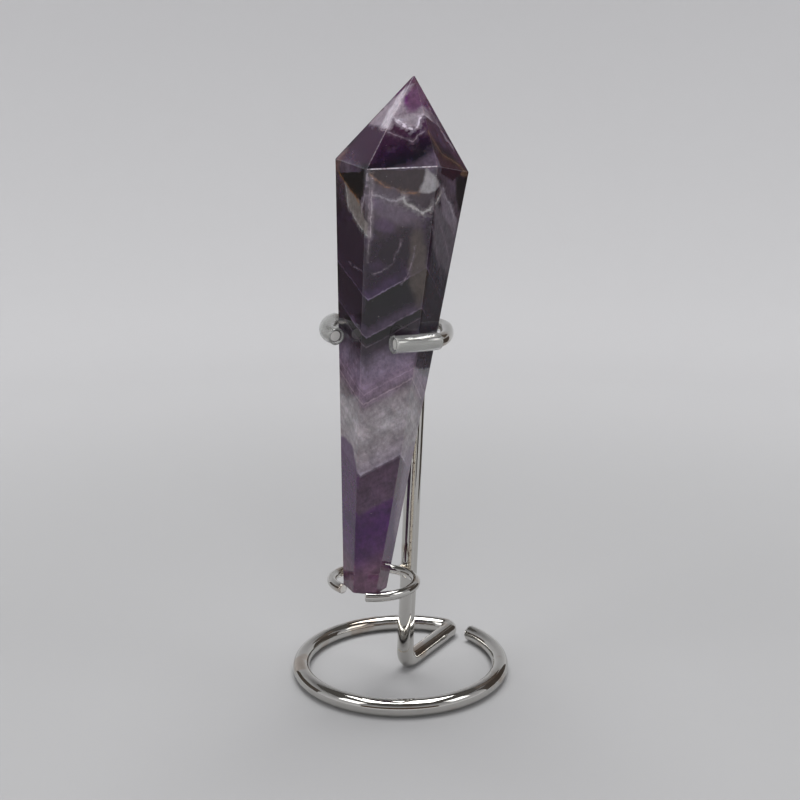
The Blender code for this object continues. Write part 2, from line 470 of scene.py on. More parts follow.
@dataclass(frozen=True)
class AmethystFinish(Finish):
    """Polished chevron amethyst: growth layers, milky zones, stains and veils, with painted highlights on
    its edges and a painted reflection below its shoulder.
    """

    name = "polished chevron amethyst"
    foot: Vector
    lean: Euler
    # Each side of the stack of layers: its direction in degrees, slope, rise and start
    layer_faces: tuple = ((60.0, 1.27, 0.0, 0.0), (180.0, 0.85, 0.034, 2.2), (300.0, 1.27, 0.0, 0.0))
    depth_span: float = 145.0
    upper_stone: tuple[float, float] = (76.0, 86.0)
    tip: tuple[float, float] = (100.0, 112.0)
    polish: float = 0.025
    rub: float = 0.07
    chip_roughness: float = 0.3
    refraction: float = 1.544
    glow: float = 0.15
    glow_depth: float = 0.0012
    layers: tuple = (
        (0.0, (92, 72, 86)), (5.0, (74, 56, 80)), (12.0, (68, 50, 78)), (17.6, (72, 54, 80)),
        (18.6, (76, 64, 76)), (28.7, (72, 60, 71)), (29.3, (122, 114, 124)), (34.0, (120, 113, 118)),
        (40.0, (134, 129, 133)), (46.0, (116, 109, 114)), (47.8, (104, 92, 104)), (50.6, (108, 95, 109)),
        (54.0, (108, 97, 113)), (57.0, (96, 87, 100)), (60.5, (60, 55, 61)), (64.6, (46, 42, 47)),
        (65.3, (68, 60, 72)), (68.5, (50, 45, 51)), (73.9, (44, 40, 44)), (74.7, (60, 52, 65)),
        (77.5, (54, 48, 56)), (86.0, (54, 49, 54)), (93.0, (68, 62, 66)), (98.0, (86, 78, 88)),
        (101.0, (76, 69, 78)), (104.0, (48, 40, 50)), (110.0, (54, 41, 56)), (119.4, (66, 54, 63)),
        (120.6, (120, 112, 120)), (124.2, (114, 104, 114)), (126.4, (84, 56, 86)), (131.0, (88, 69, 81)),
    )
    lines: tuple = (
        Line(29.2, 0.3, 0.8, (150, 142, 156), 0.5),
        Line(47.9, 0.25, 0.5, (146, 132, 140), 0.6),
        Line(50.5, 0.25, 0.4, (136, 120, 138), 0.6),
        Line(51.9, 0.2, 0.6, (120, 102, 126), 0.4),
        Line(62.4, 0.2, 0.35, MAUVE_GREY, 0.35),
        Line(64.9, 0.25, 0.4, (128, 116, 134), 0.6),
        Line(64.9, 0.3, 3.0, (86, 76, 92), 0.35),
        Line(74.2, 0.25, 0.35, (138, 126, 146), 0.7),
        Line(74.2, 0.3, 3.5, (82, 68, 96), 0.3),
        Line(120.3, 0.3, 0.6, WHITE_LILAC, 0.5),
    )
    patches: tuple = (
        Patch("mauve cloud", (-5.6, -14.2, 107.4), (5.5, -14.1, 105.4), (3.0, 2.4), (96, 86, 98), 0.7),
        Patch("violet cloud", (-5.8, -14.0, 104.2), (-0.5, -13.9, 102.4), (2.5, 1.5), (84, 70, 90), 0.6),
        Patch("smoke", (5.0, -13.8, 103.6), (7.6, -12.4, 84.0), (3.0, 2.2), (78, 72, 70), 0.85, 0.35),
        Patch("dark middle", (-5.2, -13.3, 96.6), (3.6, -13.3, 97.4), (2.8, 2.6), (52, 47, 52), 0.8, 0.35),
        Patch("dark right", (14.2, -4.6, 117.0), (16.6, 0.6, 107.4), (2.4, 2.2), (44, 38, 42), 0.85, 0.3),
        Patch("lilac flank", (5.6, -3.2, 132.6), (17.2, -0.4, 118.6), (4.0, 2.6), (66, 55, 66), 0.9, 0.4),
        Patch("plum knot", (4.3, -7.6, 129.2), (6.0, -8.2, 127.0), (2.0, 1.3), (72, 58, 70), 0.8, 0.3),
        Patch("purple tip", (0.4, -3.6, 135.4), (4.0, -4.2, 134.6), (6.5, 4.2), (88, 69, 86), 0.95, 0.3),
        Patch("rusty shoulder", (-17.4, -0.4, 115.4), (-14.0, -2.4, 121.0), (2.2, 1.1), (104, 84, 76), 0.5),
        Patch("rusty corner", (13.6, -4.6, 118.4), (17.4, -0.2, 116.6), (2.0, 0.8), (104, 84, 72), 0.6),
    )
    shards: tuple = (
        Shard("purple beside the milk", ((-10.2, -0.2, 44.3), (-6.7, -6.2, 43.7), (-4.7, -8.3, 36.5),
            (-4.3, -7.1, 23.7), (-8.6, -0.4, 23.7)), (72, 52, 78), 0.9, 0.6),
        Shard("pale right side", ((10.4, 0.9, 44.1), (8.7, 1.4, 28.1), (7.6, 1.0, 14.0), (6.0, -2.8, 17.0),
            (7.6, -5.4, 42.3)), (114, 102, 116), 0.8, 2.2),
        Shard("right smoke", ((9.0, -13.8, 110.0), (16.3, 0.8, 104.0), (15.0, 0.8, 88.0),
            (9.2, -11.4, 97.5)), (94, 90, 96), 0.85, 0.9),
        Shard("dark low right", ((8.9, -12.0, 99.0), (14.9, 0.8, 90.0), (12.4, 0.8, 62.0),
            (8.0, -10.0, 67.0)), (70, 68, 73), 0.85, 0.9),
        Shard("left smoke", ((-15.1, -0.6, 102.0), (-9.8, -10.5, 103.0), (-7.0, -13.4, 99.2),
            (-6.4, -12.2, 81.0), (-12.4, -0.4, 77.0)), (62, 56, 63), 0.75, 0.5),
        Shard("veil", ((-6.9, -14.7, 114.6), (-2.8, -14.5, 112.9), (5.6, -14.5, 112.0), (5.6, -14.4, 110.4),
            (-0.8, -14.3, 109.4), (-6.9, -14.4, 110.3)), (80, 73, 80), 0.75, 0.3),
        # The window is a painted reflection: the stone's dark internal reflection just below the front of
        # its shoulder
        Shard("window", ((-7.3, -14.9, 116.6), (5.8, -15.0, 118.0), (4.6, -14.5, 112.5),
            (1.0, -14.5, 112.3), (-2.8, -14.6, 113.0), (-7.0, -14.7, 114.8)), (58, 52, 54), 0.95, 0.15),
        Shard("wedge", ((5.9, -15.0, 118.3), (4.6, -14.5, 112.2), (7.2, -14.5, 112.1), (9.6, -12.6, 114.4)),
            (138, 135, 138), 0.8, 0.4),
        Shard("black corner", ((-16.2, -1.3, 114.7), (-8.6, -14.7, 116.0), (-8.2, -14.7, 114.3),
            (-9.5, -12.0, 108.2), (-13.9, -5.0, 112.1)), BLACK_GLASS, 0.95, 0.25),
        Shard("pale band", ((-13.9, -5.0, 112.0), (-10.0, -11.2, 108.6), (-6.9, -13.8, 103.3),
            (-7.1, -13.6, 100.5), (-9.5, -11.0, 102.9), (-12.4, -6.6, 106.4)), (108, 103, 101), 0.9, 0.25),
        Shard("right veil", ((9.4, -13.3, 114.7), (11.3, -9.6, 112.3), (15.9, -1.0, 105.6),
            (15.3, -1.0, 102.0), (11.0, -8.9, 107.0)), (110, 104, 113), 0.7, 0.5),
        Shard("black right", ((7.4, -12.1, 122.6), (15.8, -2.5, 118.2), (13.1, -6.9, 115.4),
            (9.7, -13.0, 117.0)), (58, 47, 53), 0.9, 0.5),
        Shard("plum side", ((-9.2, -0.8, 127.4), (-4.5, -9.1, 126.0), (-7.2, -14.2, 117.8),
            (-16.0, -1.5, 118.0)), (66, 54, 65), 0.75, 0.8, 6.0),
        Shard("left milk", ((0.8, -1.5, 138.1), (-4.1, -9.0, 126.3), (-9.4, -0.4, 127.6),
            (-3.9, -0.6, 133.4)), (124, 115, 124), 0.9, 0.4, 6.0),
        Shard("left glow", ((-0.5, -1.0, 137.3), (-1.4, -3.8, 134.4), (-4.8, -8.8, 126.4),
            (-6.4, -5.6, 127.4), (-3.8, -2.0, 133.4)), (168, 162, 170), 0.75, 0.6, 6.0),
        Shard("milk tongue", ((-2.2, -7.0, 129.4), (-0.8, -7.9, 128.3), (1.6, -8.8, 127.4),
            (2.7, -8.6, 127.8), (3.6, -6.8, 130.5), (1.0, -6.2, 131.0)), (126, 118, 126), 0.85, 0.4, 6.0),
    )
    streaks: tuple = (
        Streak("white jag", ((-2.0, -7.2, 129.1), (-0.1, -8.2, 127.9), (1.7, -8.9, 127.1),
            (2.9, -8.7, 127.6), (3.4, -7.5, 129.6), (3.9, -6.9, 130.5)), 0.4, WHITE_LILAC, 0.9),
        Streak("zigzag", ((-8.8, -0.8, 127.2), (-4.5, -9.0, 126.0), (-2.2, -9.8, 125.2),
            (0.2, -10.2, 125.0), (2.0, -10.9, 124.2), (3.0, -9.9, 125.8), (5.0, -9.4, 126.8)), 0.3,
            MAUVE_GREY, 0.8),
        Streak("flank line", ((5.5, -2.0, 132.7), (7.6, -2.5, 129.4), (10.4, -2.4, 125.5),
            (12.5, -1.4, 123.4)), 0.4, (138, 130, 138), 0.5),
        Streak("ridge", ((5.9, -9.3, 126.9), (7.6, -9.7, 124.2), (10.0, -8.9, 121.5), (13.3, -4.6, 119.9),
            (16.6, -0.8, 117.6)), 0.5, (84, 68, 60), 0.8),
        Streak("window rim", ((-7.6, -14.8, 115.5), (-6.2, -14.7, 114.1), (-2.8, -14.6, 112.7),
            (1.1, -14.5, 112.0), (4.6, -14.5, 112.0)), 0.28, RUST, 0.65),
        Streak("left rust", ((-16.6, -1.0, 115.2), (-13.9, -5.0, 112.3), (-10.7, -10.1, 109.2),
            (-8.6, -12.6, 106.4)), 0.3, RUST, 0.7),
        Streak("white line", ((-6.5, -14.4, 110.7), (-4.4, -14.4, 110.5), (-2.6, -14.3, 109.8),
            (-0.8, -14.3, 109.7), (0.6, -14.4, 110.7)), 0.4, (136, 130, 138), 0.7),
        Streak("white hook", ((0.9, -14.4, 111.0), (1.7, -14.3, 109.4), (3.5, -14.2, 108.4),
            (6.5, -14.1, 107.2), (7.6, -14.2, 108.3), (9.2, -13.3, 110.6), (10.1, -11.6, 112.3)), 0.5,
            PALE_GREY, 0.85),
        Streak("curved light", ((-8.3, -14.8, 115.6), (-8.1, -14.7, 114.3), (-8.6, -14.0, 110.8),
            (-9.1, -12.3, 106.0)), 0.5, (134, 126, 134), 0.75),
        # The next two streaks are a painted highlight along the stone's front left edge
        Streak("pink painted edge highlight", ((-6.9, -14.7, 114.4), (-6.7, -14.4, 111.0), (-6.5, -14.0, 106.3),
            (-6.4, -13.6, 100.0)), 0.3, (150, 140, 147), 0.75, straight=True),
        Streak("pink painted edge highlight below", ((-7.6, -14.6, 113.2), (-7.1, -14.0, 106.3), (-6.4, -13.0, 93.8)), 0.22,
            (128, 118, 124), 0.6, straight=True),
        Streak("band rim", ((-13.8, -5.0, 111.6), (-12.4, -6.7, 106.3), (-9.5, -11.0, 102.9),
            (-7.3, -13.6, 100.6)), 0.4, PALE_GREY, 0.8),
        Streak("right light", ((10.5, -11.1, 113.5), (12.8, -6.4, 109.3), (15.6, -1.6, 104.8)), 0.5,
            (136, 130, 140), 0.7),
        Streak("right fan", ((10.3, -10.9, 110.6), (12.5, -6.4, 106.3), (15.4, -1.2, 101.0)), 0.5,
            MAUVE_GREY, 0.6),
        Streak("right fan below", ((8.7, -14.1, 108.9), (10.9, -8.9, 103.9), (14.6, -1.7, 95.9)), 0.4,
            MAUVE_GREY, 0.5),
        Streak("right fan low", ((8.9, -13.5, 104.2), (10.1, -10.2, 99.2), (13.6, -2.9, 88.6)), 0.4,
            MAUVE_GREY, 0.4),
        Streak("inner arc", ((-11.4, -6.1, 92.5), (-9.6, -9.0, 91.7), (-8.0, -11.9, 91.3),
            (-5.0, -12.8, 90.6), (-2.8, -12.8, 91.6), (-0.3, -13.1, 94.4), (1.1, -13.4, 98.1),
            (1.7, -13.6, 100.3)), 0.18, MAUVE_GREY, 0.7),
        Streak("outer arc", ((2.5, -12.7, 89.4), (4.1, -12.9, 92.2), (4.7, -13.2, 96.0),
            (5.0, -13.4, 98.5)), 0.2, MAUVE_GREY, 0.75),
    )

    def draw(self, sheet: Sheet) -> None:
        """Draw the stone's colour, then its polish, and its broken edges with a painted highlight along
        them.

        Args:
            sheet: Sheet of the material.
        """
        drawing = StoneDrawing(sheet, self)
        drawing.add_lines()
        drawing.add_clouds()
        drawing.add_patches()
        drawing.add_shards()
        drawing.add_streaks()
        drawing.add_grain()
        drawing.add_specks()
        place = drawing.shaken
        # Pale painted highlight along the ground edges, broken by noise; the same share makes the chipping
        # there rougher
        edge = sheet.node("ShaderNodeAttribute", attribute_name=EDGE_LIGHT).outputs["Fac"]
        highlight_and_chips = sheet.times(edge, sheet.step(sheet.noise(place, 1.6, 3.0), 0.35, 0.6, 0.3, 1.0))
        marks = HandlingMarks().place(
            sheet, Place=place, Scale=0.35, Base_Roughness=self.polish, Rub=self.rub)
        sheet.shader(
            Base_Color=sheet.mix(highlight_and_chips, drawing.colour, display(PAINTED_EDGE_HIGHLIGHT)),
            Roughness=sheet.math("MULTIPLY_ADD", highlight_and_chips, self.chip_roughness, marks["Roughness"]),
            Normal=sheet.bump(marks["Height"], 0.06, 0.0004),
            IOR=self.refraction, Subsurface_Weight=self.glow, Subsurface_Scale=self.glow_depth)


class StoneDrawing:
    """The stone's colour on its sheet, to which each step adds something, in the stone's millimetres."""

    def __init__(self, sheet: Sheet, finish: AmethystFinish) -> None:
        """Find the places and the depth of each point, and start with the growth layers.

        Args:
            sheet: Sheet of the stone's material.
            finish: What is drawn.
        """
        self.sheet = sheet
        self.finish = finish
        self.place = sheet.inside(
            sheet.object_place(), tuple(finish.foot), tuple(finish.lean), (MILLIMETRE,) * 3)
        self.depth = self.warped_depth()
        self.shaken = self.shaken_place()
        share = sheet.math("DIVIDE", self.depth, finish.depth_span)
        stops = [(depth / finish.depth_span, pigment(shade)) for depth, shade in finish.layers]
        self.colour = sheet.ramp(share, stops)

    def warped_depth(self) -> Socket:
        """Stack the growth layers, with the steps and waves of real growth.

        Returns:
            The height of each point in the stack.
        """
        sheet = self.sheet
        spread = None
        for degrees, slope, rise, start in self.finish.layer_faces:
            facing = tuple(on_circle(slope, degrees, rise))
            side = sheet.math("ADD", sheet.measure("DOT_PRODUCT", self.place, facing), start)
            spread = side if spread is None else sheet.math("MAXIMUM", spread, side)
        height = sheet.node("ShaderNodeSeparateXYZ", {0: self.place}).outputs["Z"]
        plain = sheet.math("SUBTRACT", height, spread)
        broad = sheet.math("SUBTRACT", sheet.noise(self.place, 0.085, 1.5), 0.5)
        fine = sheet.math("SUBTRACT", sheet.noise(self.place, 0.8, 4.0, 0.6), 0.5)
        swing = sheet.step(plain, *self.finish.upper_stone, 0.8, 9.0)
        calm = sheet.step(plain, *self.finish.tip, 1.0, 0.3)
        waved = sheet.math("MULTIPLY_ADD", broad, sheet.times(swing, calm), plain)
        return sheet.math("MULTIPLY_ADD", fine, 1.1, waved)

    def shaken_place(self) -> Socket:
        """Shake the place with small jags and broad waves, for inclusions and streaks.

        Returns:
            The shaken place.
        """
        sheet = self.sheet
        shaken = self.place
        for scale, detail, reach in ((0.9, 3.0, 0.7), (0.22, 1.0, 1.4)):
            tossed = sheet.noise(self.place, scale, detail, output="Color")
            shake = sheet.vector("SUBTRACT", tossed, (0.5,) * 3)
            shaken = sheet.vector("MULTIPLY_ADD", shake, (reach,) * 3, shaken)
        return shaken

    def lay(self, name: str, shade: Shade, *masks: Value) -> None:
        """Lay a colour over the drawing, as far as all the masks let it through.

        Args:
            name: Label of the node that lays it.
            shade: The colour.
            masks: How much of it each lets through, from 0 to 1.
        """
        self.colour = self.sheet.mix(self.sheet.times(*masks), self.colour, pigment(shade))
        self.colour.node.label = name

    def tone(self, share: Socket) -> None:
        """Make the drawing darker or lighter."""
        grey = self.sheet.node("ShaderNodeCombineColor", {0: share, 1: share, 2: share}).outputs[0]
        self.colour = self.sheet.mix(1.0, self.colour, grey, "MULTIPLY")

    def add_lines(self) -> None:
        """Growth lines, broken up along their length."""
        breaks = self.sheet.step(self.sheet.noise(self.place, 0.5, 3.0), 0.3, 0.6, 0.35, 1.0)
        for line in self.finish.lines:
            mask = GrowthLine().place(
                self.sheet, Depth=self.depth, At=line.depth, Below=line.below, Above=line.above)["Mask"]
            self.lay("growth line", line.colour, mask, line.strength, breaks)

    def add_clouds(self) -> None:
        """Faint stripes along the layers, milky clouds, and violet and smoke in the upper stone."""
        sheet = self.sheet
        flat = sheet.vector("MULTIPLY", self.place, (0.14, 0.14, 0.0))
        lifted = sheet.node("ShaderNodeCombineXYZ", {2: sheet.times(self.depth, 0.7)}).outputs[0]
        layered = sheet.noise(sheet.vector("ADD", flat, lifted), 1.0, 4.0, 0.6)
        stripes = sheet.step(layered, 0.28, 0.72, 0.86, 1.14)
        clouds = sheet.step(sheet.noise(self.place, 0.22, 6.0, 0.64), 0.27, 0.75, 0.66, 1.34)
        self.tone(sheet.times(stripes, clouds))
        upper = sheet.step(self.depth, *self.finish.upper_stone)
        for name, scale, shade in (("violet spots", 0.19, VIOLET), ("smoky spots", 0.23, BROWN_SMOKE)):
            spots = sheet.step(sheet.noise(self.place, scale, 4.0, 0.6), 0.52, 0.68)
            self.lay(name, shade, spots, upper, 0.3)

    def add_patches(self) -> None:
        """Cloudy inclusions."""
        for patch in self.finish.patches:
            centre, turn, size = patch.frame()
            mask = Inclusion().place(
                self.sheet, Place=self.shaken, Centre=centre, Turn=turn, Size=size, Edge=patch.edge)["Mask"]
            self.lay(patch.name, patch.colour, mask, patch.strength)

    def add_shards(self) -> None:
        """Angular inclusions and the window's painted reflection, each as far as all its sides let it
        through.
        """
        for shard in self.finish.shards:
            whole = shard.strength
            for point, inward in shard.cuts():
                side = FlatCut().place(
                    self.sheet, Place=self.shaken, Point=point, Inward=inward, Soft=shard.soft)
                whole = self.sheet.times(side["Mask"], whole)
            self.lay(shard.name, shard.colour, whole)

    def add_streaks(self) -> None:
        """Thin streaks of uneven width, each joined from its straight runs."""
        ragged = self.sheet.step(self.sheet.noise(self.shaken, 1.0, 3.0), 0.3, 0.7, 0.4, 1.5)
        for streak in self.finish.streaks:
            width = streak.width if streak.straight else self.sheet.times(ragged, streak.width)
            whole = None
            for start, end in zip(streak.points, streak.points[1:]):
                along = tuple(Vector(end) - Vector(start))
                run = StreakRun().place(
                    self.sheet, Place=self.shaken, Start=start, Along=along, Width=width)["Mask"]
                whole = run if whole is None else self.sheet.math("MAXIMUM", whole, run)
            self.lay(streak.name, streak.colour, whole, streak.strength)

    def add_grain(self) -> None:
        """Fine mottling of the whole stone, drawn out a little along it."""
        drawn = self.sheet.vector("MULTIPLY", self.shaken, (1.0, 1.0, 0.55))
        self.tone(self.sheet.step(self.sheet.noise(drawn, 1.1, 6.0, 0.7), 0.3, 0.7, 0.80, 1.20))

    def add_specks(self) -> None:
        """Small pale pits and dust, in a few of the cells of a loose pattern."""
        sheet = self.sheet
        for scale, size, rare in ((0.7, 0.08, 0.86), (1.3, 0.13, 0.88)):
            cells = sheet.node("ShaderNodeTexVoronoi", {"Vector": self.shaken, "Scale": scale}).outputs
            reach = sheet.times(sheet.noise(self.shaken, 2.5, 2.0), size * 2)
            reach = sheet.math("SUBTRACT", reach, size * 0.4)
            speck = sheet.math("LESS_THAN", cells["Distance"], reach)
            number = sheet.node("ShaderNodeSeparateColor", {0: cells["Color"]}).outputs[0]
            self.lay("specks", PALE_GREY, speck, sheet.math("GREATER_THAN", number, rare), 0.6)


@dataclass(frozen=True)
class ChromeFinish(Finish):
    """Bright plating over drawn wire, with faint warm spots: a painted brown reflection over a little real
    discolouring.
    """

    name: str = "bright chrome plating"
    colour: Colour = (0.56, 0.55, 0.525)
    tarnish_and_painted_reflection: Colour = (0.36, 0.26, 0.18)
    roughness: float = 0.045
    metallic: float = 1.0

    def draw(self, sheet: Sheet) -> None:
        """Plating under soft rubs and shallow drawing waves."""
        place = sheet.object_place()
        marks = HandlingMarks().place(
            sheet, Place=place, Scale=160.0, Base_Roughness=self.roughness, Rub=0.07)
        # Warm spots: a painted reflection of a brown room in the plating, with a little real discolouring
        warm = sheet.step(sheet.noise(place, 85.0, 3.0), 0.56, 0.66, 0.0, 0.5)
        sheet.shader(Metallic=self.metallic, Base_Color=sheet.mix(warm, self.colour, self.tarnish_and_painted_reflection),
                     Roughness=marks["Roughness"], Normal=sheet.bump(marks["Height"], 0.10, 0.0003))


@dataclass(frozen=True)
class WeldFinish(Finish):
    """Plated weld metal, rough and a little golden."""

    name: str = "plated weld"
    colour: Colour = (0.62, 0.56, 0.46)
    pit: Colour = (0.16, 0.12, 0.09)

    def draw(self, sheet: Sheet) -> None:
        """Grainy metal with dark pits."""
        place = sheet.object_place()
        marks = HandlingMarks().place(sheet, Place=place, Scale=420.0, Base_Roughness=0.16, Rub=0.35)
        pits = sheet.step(sheet.noise(place, 1500.0, 3.0), 0.56, 0.70)
        grain = sheet.noise(place, 2600.0, 3.0)
        sheet.shader(Metallic=1.0, Base_Color=sheet.mix(pits, self.colour, self.pit),
                     Roughness=marks["Roughness"], Normal=sheet.bump(grain, 0.6, 0.00025))


@dataclass(frozen=True)
class SleeveFinish(Finish):
    """Clear soft vinyl, slightly rubbed."""

    name: str = "clear vinyl sleeve"
    colour: Colour = (0.78, 0.785, 0.775)
    clearness: float = 0.85
    refraction: float = 1.5

    def draw(self, sheet: Sheet) -> None:
        """Clear vinyl under soft rubs."""
        place = sheet.object_place()
        marks = HandlingMarks().place(sheet, Place=place, Scale=260.0, Base_Roughness=0.09, Rub=0.12)
        sheet.shader(Transmission_Weight=self.clearness, IOR=self.refraction, Base_Color=self.colour,
                     Roughness=marks["Roughness"], Normal=sheet.bump(marks["Height"], 0.12, 0.0002))


@dataclass(frozen=True)
class PaperFinish(Finish):
    """Matt pale grey backdrop paper, with painted shade that makes it darker in the middle than up its wall.
    """

    name: str = "backdrop paper"
    middle: Colour = (0.335, 0.335, 0.341)
    wall: Colour = (0.60, 0.60, 0.612)
    fade: tuple[float, float] = (0.10, 0.80)

    def draw(self, sheet: Sheet) -> None:
        """Paper whose painted shade fades with the distance from the object."""
        share = sheet.step(sheet.measure("LENGTH", sheet.object_place()), *self.fade)
        sheet.shader(Roughness=0.9, Specular_IOR_Level=0.1,
                     Base_Color=sheet.mix(share, self.middle, self.wall))


@dataclass(frozen=True)
class FlagFinish(Finish):
    """Dark card."""

    colour: Colour
    name: str = "dark card"

    def draw(self, sheet: Sheet) -> None:
        """Card with no gloss."""
        sheet.shader(Roughness=1.0, Specular_IOR_Level=0.0, Base_Color=self.colour)


def to_object_mode() -> None:
    """Leave edit mode."""
    if bpy.context.mode != "OBJECT":
        bpy.ops.object.mode_set(mode="OBJECT")


def add(operator: Callable, name: str, **settings: object) -> Piece:
    """Add an object, with nothing else selected.

    Args:
        operator: Operator that adds it.
        name: Its name.
        settings: Settings of the operator.

    Returns:
        The new object, selected and active.
    """
    to_object_mode()
    bpy.ops.object.select_all(action="DESELECT")
    operator(**settings)
    made = bpy.context.object
    made.name = name
    return made


def edit(piece: Piece, kind: str = "EDGE") -> bmesh.types.BMesh:
    """Open a piece in edit mode with nothing selected.

    Args:
        piece: The object.
        kind: What is selected: VERT, EDGE or FACE.

    Returns:
        The piece's live mesh.
    """
    bpy.context.view_layer.objects.active = piece
    bpy.ops.object.mode_set(mode="EDIT")
    bpy.ops.mesh.select_mode(type=kind)
    bpy.ops.mesh.select_all(action="DESELECT")
    return bmesh.from_edit_mesh(piece.data)


def pick(piece: Piece, items: list) -> None:
    """Select parts of the open mesh, and no others.

    Args:
        piece: The object in edit mode.
        items: Its vertices, edges or faces to select.
    """
    bpy.ops.mesh.select_all(action="DESELECT")
    for item in items:
        item.select = True
    bmesh.from_edit_mesh(piece.data).select_flush_mode()
    bmesh.update_edit_mesh(piece.data)


def apply_modifier(piece: Piece, kind: str, **settings: object) -> None:
    """Shape the active object with a modifier.

    Args:
        piece: The object.
        kind: Modifier type.
        settings: Properties of the modifier.
    """
    added = piece.modifiers.new(kind.lower(), kind)
    for name, setting in settings.items():
        setattr(added, name, setting)
    bpy.ops.object.modifier_apply(modifier=added.name)


def break_edges(piece: Piece, width: float, segments: int, degrees: float) -> None:
    """Round every edge of the active object that is sharper than an angle."""
    apply_modifier(piece, "BEVEL", width=width, segments=segments, limit_method="ANGLE",
                   angle_limit=math.radians(degrees))


def roughen(piece: Piece, height: float, spacing: float) -> None:
    """Raise and sink the active object's surface in small lumps.

    Args:
        piece: The object.
        height: Size of the lumps.
        spacing: Distance between lumps.
    """
    grain = bpy.data.textures.new(f"{piece.name} grain", "CLOUDS")
    grain.noise_scale = spacing
    apply_modifier(piece, "DISPLACE", texture=grain, texture_coords="LOCAL", strength=height, mid_level=0.5)


def finish_piece(piece: Piece, material: bpy.types.Material, node: str | None = None,
                 angle: float = 30.0, cut_ends: bpy.types.Material | None = None) -> None:
    """Shade, dress and place a piece on the model's one body.

    Args:
        piece: The finished object.
        material: Its material.
        node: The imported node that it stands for, if any.
        angle: Edges sharper than this, in degrees, stay sharp.
        cut_ends: Material of the flat cut ends of a wire, if they have their own.
    """
    to_object_mode()
    bpy.ops.object.select_all(action="DESELECT")
    piece.select_set(True)
    bpy.context.view_layer.objects.active = piece
    bpy.ops.object.transform_apply(location=True, rotation=True, scale=True)
    bpy.ops.object.shade_smooth_by_angle(angle=math.radians(angle))
    piece.data.materials.clear()
    piece.data.materials.append(material)
    if cut_ends:
        piece.data.materials.append(cut_ends)
        for face in piece.data.polygons:
            face.material_index = int(len(face.vertices) > 4)
    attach(piece, BODY)
    if node:
        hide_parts(node)
    LOG.info("%s: %d faces", piece.name, len(piece.data.polygons))


def on_circle(radius: float, degrees: float, height: float = 0.0) -> Vector:
    """Point of a level circle round the upright axis."""
    angle = math.radians(degrees)
    return Vector((radius * math.cos(angle), radius * math.sin(angle), height))


